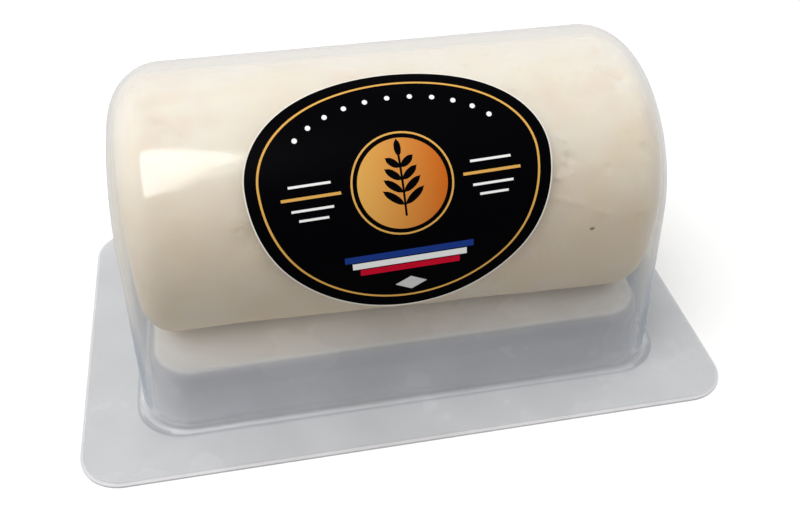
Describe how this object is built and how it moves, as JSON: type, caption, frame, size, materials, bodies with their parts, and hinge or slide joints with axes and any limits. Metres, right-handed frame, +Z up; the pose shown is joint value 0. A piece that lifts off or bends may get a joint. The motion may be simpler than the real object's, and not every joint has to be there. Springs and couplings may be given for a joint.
{
  "type": "goat cheese log",
  "caption": "Soft fresh goat cheese log lying on a raised tray under a clear, close-fitting arched plastic dome, with an oval label wrapped on its front.",
  "frame": {"origin": "middle of the underside of the tray's flange, on the surface the pack stands on", "axes": "+X along the log to the right as seen from the labelled side, -Y towards the labelled front, +Z up"},
  "size_m": [0.15, 0.09, 0.0724],
  "materials": {
    "tray_plastic": "clear formed sheet with a faint milky grey haze",
    "cheese": "soft moist cream-white cheese with small pits and dents",
    "clear_plastic": "thin clear glossy formed sheet",
    "label_paper": null
  },
  "bodies": {
    "root": {"tray": "tray_plastic", "cheese_log": "cheese", "dome": "clear_plastic", "label": "label_paper"}
  },
  "joints": []
}
